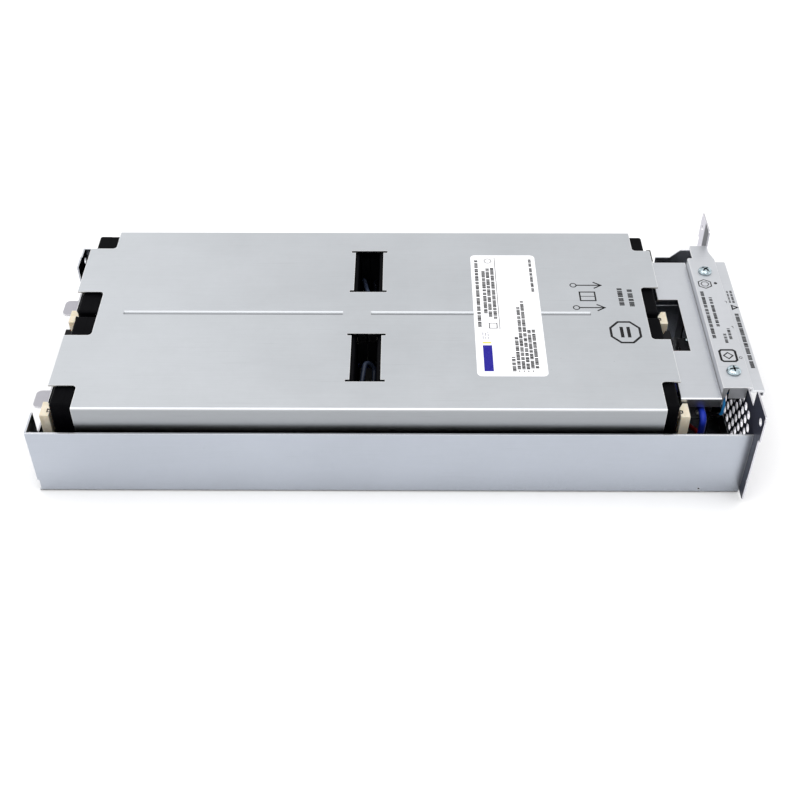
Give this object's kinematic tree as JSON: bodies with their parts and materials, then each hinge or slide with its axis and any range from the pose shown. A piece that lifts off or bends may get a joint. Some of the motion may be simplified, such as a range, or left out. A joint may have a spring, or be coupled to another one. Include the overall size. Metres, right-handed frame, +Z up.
{
  "type": "server rack battery module",
  "caption": "Low sheet-metal rack battery module: an open tray of sealed blocks under a lift-off lid, with an eared perforated front panel, cross bracket and wiring bay.",
  "frame": {"origin": "middle of the footprint, on the surface that the tray stands on", "axes": "+X towards the front panel and its ears, +Z up, the long dimension along X"},
  "size_m": [0.504, 0.23, 0.083],
  "materials": {
    "zinc_sheet": "satin zinc-coated steel",
    "lid_sheet": "satin zinc-coated steel",
    "bright_zinc": "bright zinc plating",
    "rivet_metal": "satin",
    "black_case": "fine-grained black",
    "tinned_metal": "tinned",
    "silvered_copper": "silver-plated copper",
    "label_film": "satin film",
    "foam": "closed-cell foam",
    "liner_film": "polyester film",
    "grey_housing": "moulded grey",
    "nylon": "natural nylon",
    "dark_nylon": "dark nylon",
    "blue_lead": "insulated lead",
    "red_lead": "insulated lead",
    "sky_lead": "insulated lead",
    "slate_lead": "insulated lead",
    "black_lead": "insulated lead"
  },
  "bodies": {
    "module": {"block_far_1_cover": "black_case", "block_far_1_jar": "black_case", "block_far_2_cover": "black_case", "block_far_2_jar": "black_case", "block_far_3_cover": "black_case", "block_far_3_jar": "black_case", "block_far_4_cover": "black_case", "block_far_4_jar": "black_case", "block_near_1_cover": "black_case", "block_near_1_jar": "black_case", "block_near_2_cover": "black_case", "block_near_2_jar": "black_case", "block_near_3_cover": "black_case", "block_near_3_jar": "black_case", "block_near_4_cover": "black_case", "block_near_4_jar": "black_case", "connector_contacts": "silvered_copper", "connector_nuts": "bright_zinc", "connector_saddle": "zinc_sheet", "connector_screws": "bright_zinc", "cream_housings": "nylon", "dark_housings": "dark_nylon", "deck_rivets": "rivet_metal", "far_front_lead": "red_lead", "far_front_link": "black_lead", "far_middle_link": "slate_lead", "far_rear_link": "black_lead", "far_return_lead": "blue_lead", "floor_liner": "liner_film", "front_deck": "zinc_sheet", "front_panel": "zinc_sheet", "near_front_lead": "blue_lead", "near_front_link": "black_lead", "near_middle_link": "slate_lead", "near_rear_link": "black_lead", "near_side_lead": "red_lead", "negative_tabs": "tinned_metal", "panel_rivets": "rivet_metal", "positive_tabs": "tinned_metal", "power_connector": "grey_housing", "press_nuts": "bright_zinc", "rear_stop": "zinc_sheet", "rear_stop_rivets": "rivet_metal", "row_spacers": "foam", "saddle_rivets": "rivet_metal", "sense_lead": "sky_lead", "sense_socket": "dark_nylon", "side_foam_strips": "foam", "tray": "zinc_sheet", "vent_strips": "black_case"},
    "lid_body": {"lid": "lid_sheet", "lid_foam_strips": "foam", "lid_label": "label_film"},
    "bracket_body": {"front_bracket": "zinc_sheet", "bracket_screws": "bright_zinc"}
  },
  "joints": [
    {"name": "lid_lift", "type": "slide", "parent": "module", "child": "lid_body", "axis": [0, 0, 1], "range_m": [0, 0.06]},
    {"name": "front_bracket_lift", "type": "slide", "parent": "module", "child": "bracket_body", "axis": [0, 0, 1], "range_m": [0, 0.06]}
  ]
}
